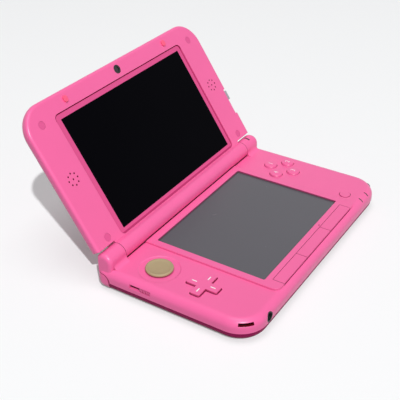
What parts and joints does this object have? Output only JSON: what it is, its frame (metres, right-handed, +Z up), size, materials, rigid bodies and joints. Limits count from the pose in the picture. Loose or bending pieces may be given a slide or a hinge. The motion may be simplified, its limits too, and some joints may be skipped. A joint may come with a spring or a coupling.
{
  "type": "handheld game console",
  "caption": "Clamshell handheld game console with a hinged screen lid, a touch screen, a slide pad, a direction cross and push buttons.",
  "frame": {"origin": "centre of the underside of the base, on the table", "axes": "+X to the player's right, +Y from the player to the hinge, +Z up"},
  "size_m": [0.1566, 0.1382, 0.0863],
  "materials": {
    "pink_shell": "semi-gloss moulded plastic",
    "deep_pink_cover": "semi-gloss moulded plastic",
    "pink_keys": "semi-gloss moulded plastic",
    "frame_plastic": "matte black plastic",
    "touch_surface": "slightly glossy film over glass",
    "lens_clear": "glossy clear lens over a dark print",
    "display": "display glass",
    "board_green": "printed circuit board",
    "chip_black": "moulded chip packages",
    "sheet_steel": "pressed sheet steel",
    "screw_steel": "plated steel",
    "pin_steel": "turned steel",
    "cell": "wrapped lithium cell",
    "pad_rubber": "matte beige-grey rubber",
    "silicone": "translucent silicone",
    "socket_black": "matte black plastic",
    "light_pipe": "dark tinted light pipe",
    "speaker_black": "matte black",
    "bumper": "salmon rubber",
    "cover_pad": "soft darker pink plug",
    "knob_grey": "light grey plastic",
    "pen_black": "dark plastic",
    "camera_black": "dark camera window"
  },
  "bodies": {
    "base": {"back_cover": "deep_pink_cover", "lower_case": "frame_plastic", "upper_case": "pink_shell", "cover_screws": "screw_steel", "case_screws": "screw_steel", "touch_panel": "touch_surface", "lower_lcd": "display", "mainboard": "board_green", "board_chips": "chip_black", "radio_module": "sheet_steel", "battery": "cell", "menu_board": "board_green", "circle_pad_housing": "frame_plastic", "dpad_membrane": "silicone", "button_membrane": "silicone", "menu_membrane": "silicone", "tact_switches": "sheet_steel", "card_slot": "sheet_steel", "memory_card_slot": "sheet_steel", "headphone_jack": "socket_black", "charging_port": "socket_black", "infrared_window": "light_pipe", "microphone": "speaker_black", "status_leds": "light_pipe", "notification_led": "light_pipe", "stylus_holder": "frame_plastic", "strap_bar": "pin_steel", "shoulder_pins": "pin_steel", "hinge_clutch": "pin_steel", "hinge_tube": "pin_steel"},
    "pad_carriage": {"circle_pad_slider": "frame_plastic"},
    "pad_cap": {"circle_pad_cap": "pad_rubber"},
    "cross_pivot": {"dpad_pivot": "silicone"},
    "cross": {"dpad": "pink_keys"},
    "face_button_1": {"button_1": "pink_keys"},
    "face_button_2": {"button_2": "pink_keys"},
    "face_button_3": {"button_3": "pink_keys"},
    "face_button_4": {"button_4": "pink_keys"},
    "power_key": {"power_button": "pink_keys"},
    "select_key": {"select_button": "pink_keys"},
    "home_key": {"home_button": "pink_keys"},
    "start_key": {"start_button": "pink_keys"},
    "volume_knob": {"volume_slider": "pink_keys"},
    "wireless_knob": {"wireless_switch": "pink_keys"},
    "card_door": {"memory_card_door": "pink_keys"},
    "stylus_pen": {"stylus": "pen_black"},
    "left_trigger": {"shoulder_left": "pink_keys"},
    "right_trigger": {"shoulder_right": "pink_keys"},
    "lid": {"lid_inner_cover": "pink_shell", "lid_outer_cover": "pink_shell", "screen_lens": "lens_clear", "upper_lcd": "display", "inner_camera": "camera_black", "outer_cameras": "camera_black", "speakers": "speaker_black", "lid_bumpers": "bumper", "screw_covers": "cover_pad", "lid_screws": "screw_steel"},
    "depth_knob": {"depth_slider": "knob_grey"}
  },
  "joints": [
    {"name": "lid_hinge", "type": "hinge", "parent": "base", "child": "lid", "pos_m": [0, 0.0409, 0.0156], "axis": [1, 0, 0], "range_deg": [-31.3, 124.2]},
    {"name": "pad_side", "type": "slide", "parent": "base", "child": "pad_carriage", "axis": [1, 0, 0], "range_m": [-0.0021, 0.0021], "stiffness_N_per_m": 250},
    {"name": "pad_up_down", "type": "slide", "parent": "pad_carriage", "child": "pad_cap", "axis": [0, 1, 0], "range_m": [-0.0021, 0.0021], "stiffness_N_per_m": 250},
    {"name": "cross_tilt_up_down", "type": "hinge", "parent": "base", "child": "cross_pivot", "pos_m": [-0.06165, -0.00945, 0.00975], "axis": [1, 0, 0], "range_deg": [-3, 3], "stiffness_Nm_per_rad": 0.3},
    {"name": "cross_tilt_side", "type": "hinge", "parent": "cross_pivot", "child": "cross", "pos_m": [-0.06165, -0.00945, 0.00975], "axis": [0, 1, 0], "range_deg": [-3, 3], "stiffness_Nm_per_rad": 0.3},
    {"name": "face_button_1_press", "type": "slide", "parent": "base", "child": "face_button_1", "axis": [0, 0, -1], "range_m": [0, 0.0008], "stiffness_N_per_m": 800},
    {"name": "face_button_2_press", "type": "slide", "parent": "base", "child": "face_button_2", "axis": [0, 0, -1], "range_m": [0, 0.0008], "stiffness_N_per_m": 800},
    {"name": "face_button_3_press", "type": "slide", "parent": "base", "child": "face_button_3", "axis": [0, 0, -1], "range_m": [0, 0.0008], "stiffness_N_per_m": 800},
    {"name": "face_button_4_press", "type": "slide", "parent": "base", "child": "face_button_4", "axis": [0, 0, -1], "range_m": [0, 0.0008], "stiffness_N_per_m": 800},
    {"name": "power_press", "type": "slide", "parent": "base", "child": "power_key", "axis": [0, 0, -1], "range_m": [0, 0.0006], "stiffness_N_per_m": 1200},
    {"name": "select_press", "type": "slide", "parent": "base", "child": "select_key", "axis": [0, 0, -1], "range_m": [0, 0.00025], "stiffness_N_per_m": 1500},
    {"name": "home_press", "type": "slide", "parent": "base", "child": "home_key", "axis": [0, 0, -1], "range_m": [0, 0.00025], "stiffness_N_per_m": 1500},
    {"name": "start_press", "type": "slide", "parent": "base", "child": "start_key", "axis": [0, 0, -1], "range_m": [0, 0.00025], "stiffness_N_per_m": 1500},
    {"name": "volume_slide", "type": "slide", "parent": "base", "child": "volume_knob", "axis": [0, 1, 0], "range_m": [0, 0.0058]},
    {"name": "wireless_slide", "type": "slide", "parent": "base", "child": "wireless_knob", "axis": [0, 1, 0], "range_m": [0, 0.0026]},
    {"name": "card_door_swing", "type": "hinge", "parent": "base", "child": "card_door", "pos_m": [0.07745, 0, 0.006], "axis": [0, 1, 0], "range_deg": [0, 90]},
    {"name": "stylus_slide", "type": "slide", "parent": "base", "child": "stylus_pen", "axis": [1, 0, 0], "range_m": [0, 0.08]},
    {"name": "left_trigger_press", "type": "hinge", "parent": "base", "child": "left_trigger", "pos_m": [-0.0506, 0.0416, 0.005], "axis": [0, 0, 1], "range_deg": [0, 1.1], "stiffness_Nm_per_rad": 6},
    {"name": "right_trigger_press", "type": "hinge", "parent": "base", "child": "right_trigger", "pos_m": [0.0506, 0.0416, 0.005], "axis": [0, 0, -1], "range_deg": [0, 1.1], "stiffness_Nm_per_rad": 6},
    {"name": "depth_slide", "type": "slide", "parent": "lid", "child": "depth_knob", "axis": [0, -0.5621, -0.8271], "range_m": [0, 0.009]}
  ]
}
